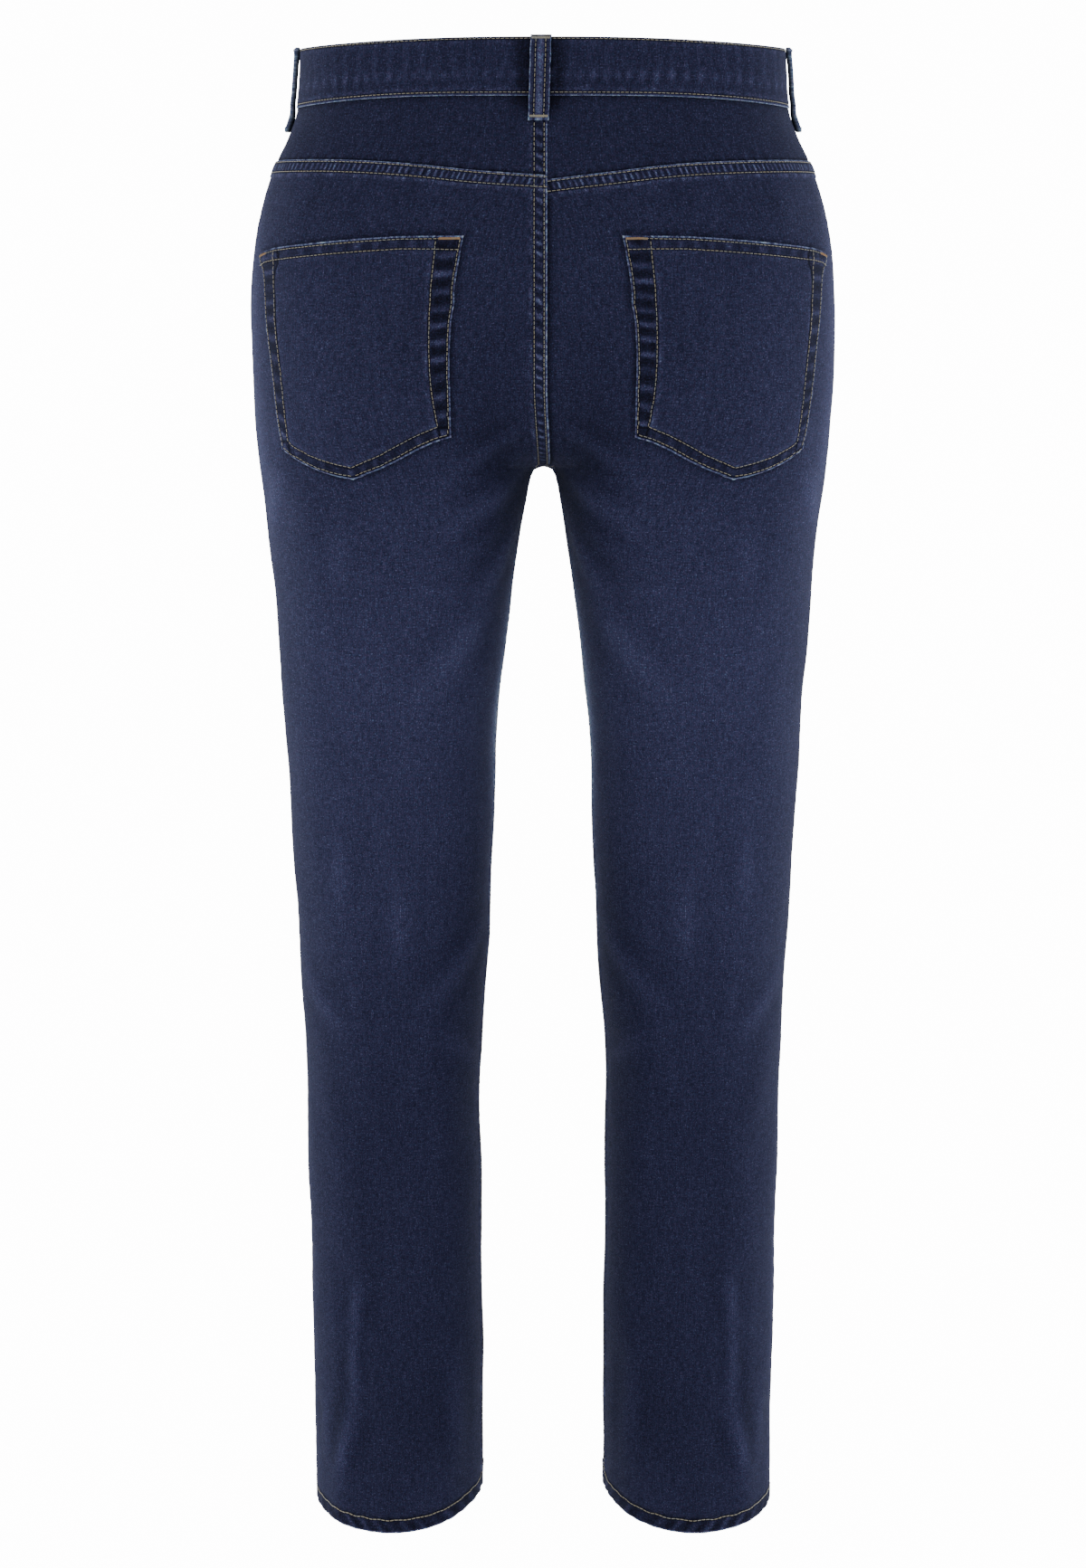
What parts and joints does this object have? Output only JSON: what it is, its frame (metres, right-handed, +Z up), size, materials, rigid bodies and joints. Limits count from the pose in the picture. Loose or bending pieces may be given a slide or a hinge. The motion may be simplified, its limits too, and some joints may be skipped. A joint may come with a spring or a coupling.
{
  "type": "straight leg jeans",
  "caption": "Straight leg denim jeans in the hollow shape they take when worn, with yoked back, patch pockets, belt loops, closed fly and turned-up hems.",
  "frame": {"origin": "middle of the waist, level with the middle of the waistband's height at the centre back", "axes": "+X to the wearer's left, +Y to the wearer's back, +Z up"},
  "size_m": [0.3896, 0.2473, 1.0082],
  "materials": {
    "denim": "washed twill",
    "denim_dark": "dark twill",
    "zip_tape": "woven tape",
    "button_brass": "antique",
    "topstitch": "spun thread"
  },
  "bodies": {
    "root": {"waistband": "denim_dark", "belt_loop_back": "denim", "belt_loop_side_left": "denim", "belt_loop_side_right": "denim", "belt_loop_front_left": "denim", "belt_loop_front_right": "denim", "yoke_left": "denim_dark", "yoke_right": "denim_dark", "back_left": "denim", "back_right": "denim", "front_left": "denim", "front_right": "denim", "back_pocket_left": "denim", "back_pocket_right": "denim", "pocket_facing_left": "denim_dark", "pocket_facing_right": "denim_dark", "hem_left": "denim_dark", "hem_right": "denim_dark", "fly_shield": "denim", "zip": "zip_tape", "button": "button_brass"}
  },
  "joints": []
}
